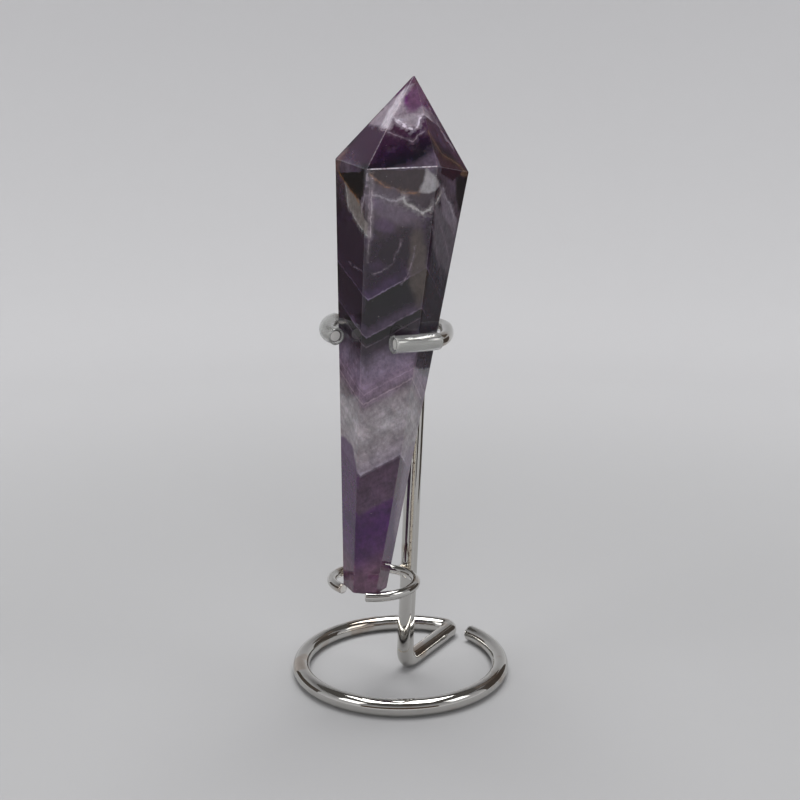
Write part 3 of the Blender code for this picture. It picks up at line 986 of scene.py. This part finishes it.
@dataclass
class Stone:
    """The stone: a tapered six-sided crystal ground to a point, leaning in its holder."""

    foot: Vector = field(default_factory=lambda: Vector((-0.0100, -0.0130, 0.0337)))
    lean_right: float = 5.15
    lean_forward: float = 4.0
    sides: int = 6
    body_length: float = 0.1178
    tip_radius: float = 0.0062
    shoulder_radius: float = 0.0173
    point_height: float = 0.0226
    point_shift: float = 0.0010
    edge_break: float = 0.00015
    edge_segments: int = 3
    edge_angle: float = 12.0
    edge_share: float = 0.8
    rows: int = 23
    bowed_edge: float = 300.0
    edge_bow: float = 0.0014
    shoulder_slide: dict = field(default_factory=lambda: {
        180: 0.0002, 240: -0.0012, 300: 0.0011, 0: -0.0001, 60: -0.0007, 120: 0.0006})
    front_shoulder: tuple[float, float] = (248.0, 298.0)
    shoulder_reach: float = 0.0016
    front_ridge: tuple[float, float] = (237.5, 244.5)
    # Strength of the painted highlight and the chipping on the front shoulder, the front ridge and the other
    # ground edges
    shoulder_highlight_and_chips: float = 0.80
    ridge_highlight_and_chips: float = 0.22
    other_highlight_and_chips: float = 0.03

    def lean(self) -> Euler:
        """Turn of the stone's own axis."""
        return Euler((math.radians(self.lean_forward), math.radians(self.lean_right), 0.0))

    def build(self) -> Piece:
        """Model the stone upright on its foot, then lean it in its place.

        Returns:
            The stone.
        """
        stone = add(
            bpy.ops.mesh.primitive_cone_add, "amethyst_crystal", vertices=self.sides,
            radius1=self.tip_radius, radius2=self.shoulder_radius, depth=self.body_length,
            location=(0.0, 0.0, self.body_length / 2), rotation=(0.0, 0.0, math.pi / self.sides))
        bpy.ops.object.transform_apply(location=True, rotation=True, scale=True)
        self.raise_point(stone)
        self.slide_shoulder(stone)
        self.bow_edge(stone)
        break_edges(stone, self.edge_break, self.edge_segments, self.edge_angle)
        self.mark_edges(stone)
        stone.rotation_euler = self.lean()
        stone.location = self.foot
        return stone

    def raise_point(self, stone: Piece) -> None:
        """Poke the top face and lift its middle to the apex.

        Args:
            stone: The stone, a plain frustum so far.
        """
        mesh = edit(stone, "FACE")
        pick(stone, [max(mesh.faces, key=lambda face: face.calc_center_median().z)])
        bpy.ops.mesh.poke()
        bpy.ops.mesh.select_mode(type="VERT")
        mesh = bmesh.from_edit_mesh(stone.data)
        top = [vert for vert in mesh.verts if vert.co.z > self.body_length / 2]
        pick(stone, [min(top, key=lambda vert: vert.co.xy.length)])
        bpy.ops.transform.translate(value=(self.point_shift, 0.0, self.point_height))
        to_object_mode()

    def slide_shoulder(self, stone: Piece) -> None:
        """Move each shoulder corner along its own edge, as the facets were ground by hand.

        Args:
            stone: The stone with its point.
        """
        slope = (self.shoulder_radius - self.tip_radius) / self.body_length
        for degrees, slide in self.shoulder_slide.items():
            mesh = edit(stone, "VERT")
            corner = on_circle(self.shoulder_radius, degrees, self.body_length)
            pick(stone, [min(mesh.verts, key=lambda vert: (vert.co - corner).length)])
            bpy.ops.transform.translate(value=on_circle(slope * slide, degrees, slide))
            to_object_mode()

    def bow_edge(self, stone: Piece) -> None:
        """Divide the six body edges in rows and push one edge outwards in a gentle bow.

        Args:
            stone: The stone with its shoulder.
        """
        mesh = edit(stone, "EDGE")
        pick(stone, [edge for edge in mesh.edges
                     if abs(edge.verts[0].co.z - edge.verts[1].co.z) > self.body_length / 2])
        bpy.ops.mesh.subdivide(number_cuts=self.rows)
        bpy.ops.mesh.select_mode(type="VERT")
        side = on_circle(1.0, self.bowed_edge)
        spacing = self.body_length / (self.rows + 1)
        for row in range(1, self.rows + 1):
            mesh = bmesh.from_edit_mesh(stone.data)
            share = row / (self.rows + 1)
            near = [vert for vert in mesh.verts if abs(vert.co.z - row * spacing) < spacing / 2]
            pick(stone, [max(near, key=lambda vert: vert.co.dot(side))])
            bpy.ops.transform.translate(value=(self.edge_bow * 4 * share * (1 - share), 0.0, 0.0))
        to_object_mode()

    def mark_edges(self, stone: Piece) -> None:
        """Say how much painted highlight and chipping each ground edge gets, on the narrow faces that the
        edges were broken with.

        Args:
            stone: The stone with its broken edges, still upright.
        """
        marks = stone.data.attributes.new(EDGE_LIGHT, "FLOAT", "FACE")
        narrow = self.edge_break * self.edge_share
        corners = stone.data.vertices
        for face in stone.data.polygons:
            if min((corners[a].co - corners[b].co).length for a, b in face.edge_keys) > narrow:
                continue
            at = face.center
            facing = math.degrees(math.atan2(at.y, at.x)) % 360.0
            highlight_and_chip_share = self.other_highlight_and_chips
            if at.z > self.body_length and self.front_ridge[0] < facing < self.front_ridge[1]:
                highlight_and_chip_share = self.ridge_highlight_and_chips
            if (abs(at.z - self.body_length) < self.shoulder_reach
                    and self.front_shoulder[0] < facing < self.front_shoulder[1]):
                highlight_and_chip_share = self.shoulder_highlight_and_chips
            marks.data[face.index].value = highlight_and_chip_share

    def dress(self, stone: Piece) -> None:
        """Give the stone its finish and its place in the model."""
        finish = AmethystFinish(self.foot, self.lean())
        finish_piece(stone, finish.material(), "amethyst_point", angle=8.0)


def round_corner(before: Vector, corner: Vector, after: Vector, radius: float, steps: int) -> list[Vector]:
    """Round a corner between two straight runs.

    Args:
        before: A point of the run that comes to the corner.
        corner: The corner.
        after: A point of the run that leaves it.
        radius: Radius of the bend.
        steps: Number of its straight pieces.

    Returns:
        Points of the bend.
    """
    back = (before - corner).normalized()
    ahead = (after - corner).normalized()
    half = back.angle(ahead) / 2
    centre = corner + (back + ahead).normalized() * (radius / math.sin(half))
    start = corner + back * (radius / math.tan(half)) - centre
    end = corner + ahead * (radius / math.tan(half)) - centre
    return [centre + start.slerp(end, i / steps) * radius for i in range(steps + 1)]


def smooth_route(corners: list[Vector], steps: int) -> list[Vector]:
    """Lay a smooth curve through points.

    Args:
        corners: The points.
        steps: Number of straight pieces between two of them.

    Returns:
        Points of the curve.
    """
    route = []
    held = [corners[0] * 2 - corners[1], *corners, corners[-1] * 2 - corners[-2]]
    for a, b, c, d in zip(held, held[1:], held[2:], held[3:]):
        for step in range(steps):
            t = step / steps
            bend = (2 * a - 5 * b + 4 * c - d) * t**2 + (3 * b - a - 3 * c + d) * t**3
            route.append(0.5 * (2 * b + (c - a) * t + bend))
    return [*route, corners[-1]]


def cut_route(route: list[Vector], length: float) -> list[Vector]:
    """Cut a route at a length along it.

    Args:
        route: Its points.
        length: Length to keep.

    Returns:
        Points of the stretch that is kept.
    """
    kept = [route[0]]
    left = length
    for point in route[1:]:
        span = (point - kept[-1]).length
        if span >= left:
            return [*kept, kept[-1].lerp(point, left / span)]
        kept.append(point)
        left -= span
    return kept


@dataclass
class Wire:
    """A round wire swept along a route, with its cut ends eased."""

    name: str
    route: list[Vector]
    diameter: float
    easing: float = 0.0004
    resolution: int = 14
    start_shares: tuple = ()
    easing_segments: int = 3
    weld_distance: float = 1e-6
    square_on: float = 0.99

    def sweep(self, capped: bool = True) -> Piece:
        """Sweep a circle along the route as a mesh.

        Args:
            capped: Whether its ends are closed.

        Returns:
            The wire.
        """
        wire = add(bpy.ops.object.add, self.name, type="CURVE", location=(0.0, 0.0, 0.0))
        curve = wire.data
        curve.dimensions = "3D"
        curve.twist_mode = "MINIMUM"
        curve.bevel_depth = self.diameter / 2
        curve.bevel_resolution = self.resolution
        curve.use_fill_caps = capped
        spline = curve.splines.new("POLY")
        spline.points.add(len(self.route) - 1)
        for point, place in zip(spline.points, self.route):
            point.co = (*place, 1.0)
        for point, share in zip(spline.points, self.start_shares):
            point.radius = share
        bpy.ops.object.convert(target="MESH")
        edit(wire, "VERT")
        bpy.ops.mesh.select_all(action="SELECT")
        bpy.ops.mesh.remove_doubles(threshold=self.weld_distance)
        bpy.ops.mesh.normals_make_consistent(inside=False)
        to_object_mode()
        return wire

    def build(self) -> Piece:
        """Sweep the wire, make each cut end one face and ease its rim.

        Returns:
            The wire.
        """
        wire = self.sweep()
        for tip, inner in ((self.route[0], self.route[1]), (self.route[-1], self.route[-2])):
            out = (tip - inner).normalized()
            pick(wire, [face for face in edit(wire, "FACE").faces
                        if (face.calc_center_median() - tip).length < self.diameter
                        and face.normal.dot(out) > self.square_on])
            bpy.ops.mesh.dissolve_faces()
            to_object_mode()
        mesh = edit(wire, "FACE")
        pick(wire, [face for face in mesh.faces if len(face.verts) > 4])
        bpy.ops.mesh.select_mode(type="EDGE")
        bpy.ops.mesh.region_to_loop()
        bpy.ops.mesh.bevel(offset=self.easing, segments=self.easing_segments, affect="EDGES")
        to_object_mode()
        return wire


@dataclass
class Holder:
    """The wire holder: base wire, support rod, tip ring and cradle wire."""

    centre: Vector = field(default_factory=lambda: Vector((0.0, 0.0048, 0.0)))
    base_wire: float = 0.0050
    cradle_wire: float = 0.0036
    tip_wire: float = 0.00275
    gap: float = 0.0003
    ring_radius: float = 0.03025
    ring_flare: float = 0.0017
    ring_flare_span: float = 75.0
    free_end_angle: float = 44.5
    leg_angle: float = 57.0
    leg_bend_span: float = 8.49
    ring_steps: int = 180
    leg_bend_radius: float = 0.0029
    foot_bend_radius: float = 0.0042
    bend_steps: int = 14
    foot: Vector = field(default_factory=lambda: Vector((0.0014, -0.0008)))
    post_top: float = 0.0985
    rod_bottom: float = 0.0085
    rod_top: float = 0.1122
    post_lean: float = 0.0410
    rod_shift: float = -0.0006
    rod_toe: tuple = ((0.0, 0.30), (0.08, 0.50), (0.22, 0.70), (0.42, 0.86), (0.7, 0.96), (1.1, 1.0))
    tip_ring_radius: float = 0.0119
    tip_ring_height: float = 0.0348
    tip_ring_start: float = -99.5
    tip_ring_end: float = 226.0
    tip_ring_rise: float = 0.0011
    tip_ring_weld: float = 51.3
    tip_ring_steps: int = 110
    cradle_points: tuple = (
        (-0.0170, -0.0283, 0.1068), (-0.0189, -0.0254, 0.1074), (-0.0195, -0.0210, 0.1083),
        (-0.0188, -0.0156, 0.1090), (-0.0158, -0.0113, 0.1094), (-0.0100, -0.0094, 0.1093),
        (-0.0020, -0.0092, 0.1088), (0.0060, -0.0094, 0.1083), (0.0104, -0.0114, 0.1080),
        (0.0122, -0.0156, 0.1078), (0.0126, -0.0213, 0.1075), (0.0121, -0.0277, 0.1068),
        (0.0101, -0.0340, 0.1064), (0.0062, -0.0367, 0.1062), (0.0020, -0.0378, 0.1060),
        (-0.0012, -0.0394, 0.1060))
    cradle_steps: int = 9

    def placed(self, route: list[Vector]) -> list[Vector]:
        """A route measured from the base ring's centre, in the model's frame."""
        return [point + self.centre for point in route]

    def rod_centre(self, height: float, sideways: float = 0.0, forward: float = 0.0) -> Vector:
        """Point on the leaning line of the post, or beside it."""
        lean = (height - self.base_wire / 2) * self.post_lean
        return Vector((self.foot.x + lean + sideways, self.foot.y + forward, height))

    def rod_forward(self) -> float:
        """How far the support rod stands in front of the post."""
        return -(self.base_wire / 2 + self.cradle_wire / 2 + self.gap)

    def ring_point(self, degrees: float) -> Vector:
        """Find a point of the base ring, which opens a little towards both ends of the wire.

        Args:
            degrees: Its direction from the centre.

        Returns:
            The point.
        """
        to_end = min(self.free_end_angle - degrees, degrees - (self.leg_angle - 360.0))
        ease = max(0.0, 1.0 - to_end / self.ring_flare_span)
        return on_circle(self.ring_radius + self.ring_flare * ease**1.5, degrees, self.base_wire / 2)

    def base_route(self) -> list[Vector]:
        """Lay out the base ring, the leg to its middle and the post.

        Returns:
            Points of the route.
        """
        foot = Vector((*self.foot, self.base_wire / 2))
        last = self.leg_angle - 360.0
        corner = self.ring_point(last)
        sweep = last + self.leg_bend_span - self.free_end_angle
        shares = [i / self.ring_steps for i in range(self.ring_steps + 1)]
        route = [self.ring_point(self.free_end_angle + sweep * share) for share in shares]
        route += round_corner(route[-1], corner, foot, self.leg_bend_radius, self.bend_steps)
        top = self.rod_centre(self.post_top)
        route += round_corner(corner, foot, top, self.foot_bend_radius, self.bend_steps)
        return [*route, top]

    def rod_route(self) -> list[Vector]:
        """Lay out the support rod, with close points at its rounded toe.

        Returns:
            Points of the route.
        """
        heights = [self.rod_bottom + self.cradle_wire / 2 * up for up, _ in self.rod_toe]
        heights.append(self.rod_top)
        return [self.rod_centre(height, self.rod_shift, self.rod_forward()) for height in heights]

    def tip_ring_route(self) -> list[Vector]:
        """Lay out the tip ring beside the rod's front left side; its second half rises a little.

        Returns:
            Points of the route.
        """
        rod = self.rod_centre(self.tip_ring_height, self.rod_shift, self.rod_forward())
        reach = self.tip_ring_radius + self.tip_wire / 2 + self.cradle_wire / 2 + self.gap
        centre = rod - on_circle(reach, self.tip_ring_weld)
        sweep = self.tip_ring_end - self.tip_ring_start
        route = []
        for step in range(self.tip_ring_steps + 1):
            share = step / self.tip_ring_steps
            rise = self.tip_ring_rise * max(0.0, 2 * share - 1)
            route.append(centre + on_circle(self.tip_ring_radius, self.tip_ring_start + sweep * share, rise))
        return route

    def cradle_route(self) -> list[Vector]:
        """Route of the cradle wire from its left tip round the back to its right tip."""
        return smooth_route([Vector(point) for point in self.cradle_points], self.cradle_steps)

    def build(self) -> dict[str, Piece]:
        """Model the four wires.

        Returns:
            The wires, by the name of the node that each stands for.
        """
        toe = tuple(width for _, width in self.rod_toe)
        wires = {
            "base_wire": Wire("bent_base_wire", self.placed(self.base_route()), self.base_wire,
                              easing=0.0005),
            "support_rod": Wire("straight_rod", self.placed(self.rod_route()), self.cradle_wire,
                                start_shares=toe),
            "tip_ring": Wire("open_tip_ring", self.placed(self.tip_ring_route()), self.tip_wire,
                             easing=0.0003),
            "cradle_wire": Wire("bent_cradle_wire", self.placed(self.cradle_route()), self.cradle_wire),
        }
        return {node: wire.build() for node, wire in wires.items()}

    def dress(self, wires: dict[str, Piece]) -> None:
        """Plate the wires.

        Args:
            wires: The wires, by the name of the node that each stands for.
        """
        chrome = ChromeFinish().material()
        ground = ChromeFinish(
            "ground chrome ends", (0.66, 0.65, 0.63), roughness=0.45, metallic=0.3).material()
        for node, wire in wires.items():
            finish_piece(wire, chrome, node, cut_ends=ground)


@dataclass
class Bead:
    """A lump of plated weld metal where two wires meet."""

    name: str
    centre: Vector
    size: tuple[float, float, float]
    lumps: float = 0.0002
    lump_spacing: float = 0.0007

    def build(self) -> Piece:
        """Model the lump from a fine ball, stretched and made uneven.

        Returns:
            The bead.
        """
        bead = add(bpy.ops.mesh.primitive_ico_sphere_add, self.name, subdivisions=5, radius=1.0,
                   location=self.centre)
        edit(bead, "VERT")
        bpy.ops.mesh.select_all(action="SELECT")
        bpy.ops.transform.resize(value=self.size)
        to_object_mode()
        roughen(bead, self.lumps, self.lump_spacing)
        return bead


@dataclass
class Welds:
    """Beads and seams that join the holder's wires."""

    holder: Holder
    toe_rise: float = 0.0002
    toe_share: float = 0.8
    cradle_height: float = 0.1086
    seam_top: float = 0.0970
    seam_width: float = 0.0012
    seam_steps: int = 120
    seam_lumps: float = 0.0003
    seam_lump_spacing: float = 0.0008
    front_seam_side: float = -0.0001
    front_seam_depth: float = 0.0013
    groove_seam_side: float = -0.0013

    def beads(self) -> list[Bead]:
        """Place the beads at the rod's toe, the tip ring and the cradle.

        Returns:
            The beads.
        """
        holder = self.holder
        forward = holder.rod_forward()
        half = holder.cradle_wire / 2
        toe_height = holder.rod_bottom + self.toe_rise
        toe = holder.rod_centre(toe_height, holder.rod_shift, forward * self.toe_share)
        rod = holder.rod_centre(holder.tip_ring_height, holder.rod_shift, forward)
        ring = rod + on_circle(half + holder.gap / 2, holder.tip_ring_weld + 180.0)
        cradle = holder.rod_centre(self.cradle_height, holder.rod_shift, forward - half)
        toe, ring, cradle = holder.placed([toe, ring, cradle])
        return [
            Bead("toe_weld", toe, (0.0016, 0.0012, 0.0011)),
            Bead("tip_ring_weld", ring, (0.0019, 0.0013, 0.0015)),
            Bead("cradle_weld", cradle, (0.0017, 0.0008, 0.0013)),
        ]

    def seam(self, name: str, side: float, forward: float, bottom: float) -> Piece:
        """Model one seam along the rod.

        Args:
            name: Its name.
            side: How far it lies to the side of the post's line.
            forward: How far it lies in front of it.
            bottom: Height of its lower end.

        Returns:
            The seam.
        """
        span = self.seam_top - bottom
        heights = [bottom + span * i / self.seam_steps for i in range(self.seam_steps + 1)]
        route = self.holder.placed([self.holder.rod_centre(height, side, forward) for height in heights])
        seam = Wire(name, route, self.seam_width, resolution=4).sweep()
        roughen(seam, self.seam_lumps, self.seam_lump_spacing)
        return seam

    def build(self) -> list[Piece]:
        """Model the beads, a seam on the rod's front and one in the groove left of it.

        Returns:
            The welds.
        """
        holder = self.holder
        front = holder.rod_forward() - self.front_seam_depth
        groove = -holder.base_wire / 2 - holder.gap / 2
        return [
            *[bead.build() for bead in self.beads()],
            self.seam("front_seam", self.front_seam_side, front, holder.tip_ring_height),
            self.seam("left_seam", self.groove_seam_side, groove, holder.rod_bottom),
        ]

    def dress(self, made: list[Piece]) -> None:
        """Plate the welds.

        Args:
            made: The welds.
        """
        weld = WeldFinish().material()
        for piece in made:
            finish_piece(piece, weld, angle=60.0)


@dataclass
class Sleeves:
    """Clear tubes over the two ends of the cradle wire."""

    holder: Holder
    outer: float = 0.0046
    wall: float = 0.00040
    rim: float = 0.00016
    rim_segments: int = 2
    rim_angle: float = 60.0
    overhang: float = 0.0007
    left_length: float = 0.0165
    right_length: float = 0.0125

    def build(self) -> dict[str, Piece]:
        """Model both tubes.

        Returns:
            The tubes, by the name of the node that each stands for.
        """
        route = self.holder.placed(self.holder.cradle_route())
        return {
            "sleeve_left": self.tube("left_clear_tube", route, self.left_length),
            "sleeve_right": self.tube("right_clear_tube", route[::-1], self.right_length),
        }

    def tube(self, name: str, route: list[Vector], length: float) -> Piece:
        """Model one tube with a wall and eased rims.

        Args:
            name: Its name.
            route: Route of the wire that it covers, from the covered end.
            length: Its length.

        Returns:
            The tube.
        """
        out = (route[0] - route[1]).normalized()
        covered = cut_route(route, length - self.overhang)
        tube = Wire(name, [route[0] + out * self.overhang, *covered], self.outer).sweep(capped=False)
        apply_modifier(tube, "SOLIDIFY", thickness=self.wall, offset=-1.0)
        break_edges(tube, self.rim, self.rim_segments, self.rim_angle)
        return tube

    def dress(self, tubes: dict[str, Piece]) -> None:
        """Give the tubes their clear finish.

        Args:
            tubes: The tubes, by the name of the node that each stands for.
        """
        vinyl = SleeveFinish().material()
        for node, tube in tubes.items():
            finish_piece(tube, vinyl, node)


@dataclass(frozen=True)
class Lamp:
    """One soft box: place, sides and power, and whether polish mirrors it."""

    name: str
    place: Point
    sides: tuple[float, float]
    power: float
    aim: Point = (0.0, 0.0, 0.09)
    reflected: bool = True


@dataclass(frozen=True)
class Flag:
    """One dark card that only reflections see: centre, width and height, facing in degrees, colour."""

    name: str
    place: Point
    sides: tuple[float, float]
    facing: float
    colour: Colour = (0.10, 0.085, 0.075)


@dataclass
class Studio:
    """Pale sweep, soft boxes, dark cards, and the camera at the photograph's angle."""

    floor_radius: float = 0.60
    floor_sides: int = 128
    sweep_radius: float = 0.50
    sweep_steps: int = 14
    camera_place: Point = (0.0, -0.29839, 0.14071)
    camera_pitch: float = 10.513
    lens: float = 47.25
    sensor: float = 36.0
    lamps: tuple[Lamp, ...] = (
        Lamp("top box", (0.0, 0.10, 0.95), (0.75, 0.60), 10.6, aim=(0.0, 0.0, 0.05)),
        Lamp("left box", (-0.70, -0.45, 0.70), (0.40, 0.40), 1.4),
        Lamp("right box", (0.75, -0.30, 0.60), (0.35, 0.35), 0.9),
        Lamp("front box", (0.05, -0.85, 0.50), (0.50, 0.50), 3.2, reflected=False),
    )
    flags: tuple[Flag, ...] = (
        Flag("left card", (-0.36, 0.16, 0.085), (0.34, 0.17), 90.0),
        Flag("right card", (0.23, 0.14, 0.085), (0.26, 0.17), -90.0),
        Flag("upper right card", (0.40, 0.37, 0.45), (0.34, 0.30), -45.0),
        Flag("front card", (0.0, -0.62, 0.18), (1.0, 0.22), 180.0, (0.10, 0.07, 0.05)),
    )
    room: Colour = (0.10, 0.095, 0.09)

    def build(self) -> None:
        """Build the sweep, lamps, cards, room light and camera."""
        self.build_sweep()
        for lamp in self.lamps:
            self.build_lamp(lamp)
        for flag in self.flags:
            self.build_flag(flag)
        self.light_room()
        self.build_camera()

    def build_sweep(self) -> None:
        """Round floor whose rim curves up into a wall on all sides."""
        sweep = add(bpy.ops.mesh.primitive_circle_add, "backdrop", vertices=self.floor_sides,
                    radius=self.floor_radius, fill_type="NGON")
        mesh = edit(sweep, "EDGE")
        pick(sweep, [edge for edge in mesh.edges if edge.is_boundary])
        radius = self.floor_radius
        height = 0.0
        for step in range(1, self.sweep_steps + 1):
            angle = math.pi / 2 * step / self.sweep_steps
            next_radius = self.floor_radius + self.sweep_radius * math.sin(angle)
            next_height = self.sweep_radius * (1 - math.cos(angle))
            rise = (0.0, 0.0, next_height - height)
            bpy.ops.mesh.extrude_edges_move(TRANSFORM_OT_translate={"value": rise})
            share = next_radius / radius
            bpy.ops.transform.resize(value=(share, share, 1.0), center_override=(0.0, 0.0, next_height))
            radius = next_radius
            height = next_height
        bpy.ops.mesh.extrude_edges_move(TRANSFORM_OT_translate={"value": (0.0, 0.0, self.sweep_radius)})
        to_object_mode()
        bpy.ops.object.shade_smooth()
        sweep.data.materials.append(PaperFinish().material())

    def build_lamp(self, lamp: Lamp) -> None:
        """Add one soft box that faces its aim.

        Args:
            lamp: The soft box.
        """
        turn = (Vector(lamp.aim) - Vector(lamp.place)).to_track_quat("-Z", "Y").to_euler()
        light = add(bpy.ops.object.light_add, lamp.name, type="AREA", location=lamp.place, rotation=turn)
        light.data.shape = "RECTANGLE"
        light.data.size, light.data.size_y = lamp.sides
        light.data.energy = lamp.power
        light.visible_glossy = lamp.reflected

    def build_flag(self, flag: Flag) -> None:
        """Stand one dark card on its edge, which only reflections see.

        Args:
            flag: The card.
        """
        turn = (math.pi / 2, 0.0, math.radians(flag.facing))
        card = add(bpy.ops.mesh.primitive_plane_add, flag.name, size=1.0, location=flag.place,
                   rotation=turn)
        card.scale = (*flag.sides, 1.0)
        card.data.materials.append(FlagFinish(flag.colour).material())
        card.visible_camera = False
        card.visible_diffuse = False
        card.visible_shadow = False
        card.visible_transmission = False

    def light_room(self) -> None:
        """Dim light from the room above the sweep."""
        world = bpy.data.worlds.new("room")
        world.use_nodes = True
        world.node_tree.nodes["Background"].inputs["Color"].default_value = (*self.room, 1.0)
        bpy.context.scene.world = world

    def build_camera(self) -> None:
        """Camera at the photograph's place and angle."""
        turn = (math.radians(90.0 - self.camera_pitch), 0.0, 0.0)
        camera = add(bpy.ops.object.camera_add, "camera", location=self.camera_place, rotation=turn)
        camera.data.lens = self.lens
        camera.data.sensor_width = self.sensor
        camera.data.clip_start = 0.01
        bpy.context.scene.camera = camera
        bpy.context.scene.view_settings.view_transform = "Standard"


def main() -> None:
    """Build the studio and every sub-assembly in order."""
    logging.basicConfig(level=logging.INFO, format="%(name)s %(message)s")
    Studio().build()
    holder = Holder()
    for assembly in (Stone(), holder, Welds(holder), Sleeves(holder)):
        assembly.dress(assembly.build())


if __name__ == "__main__":
    main()
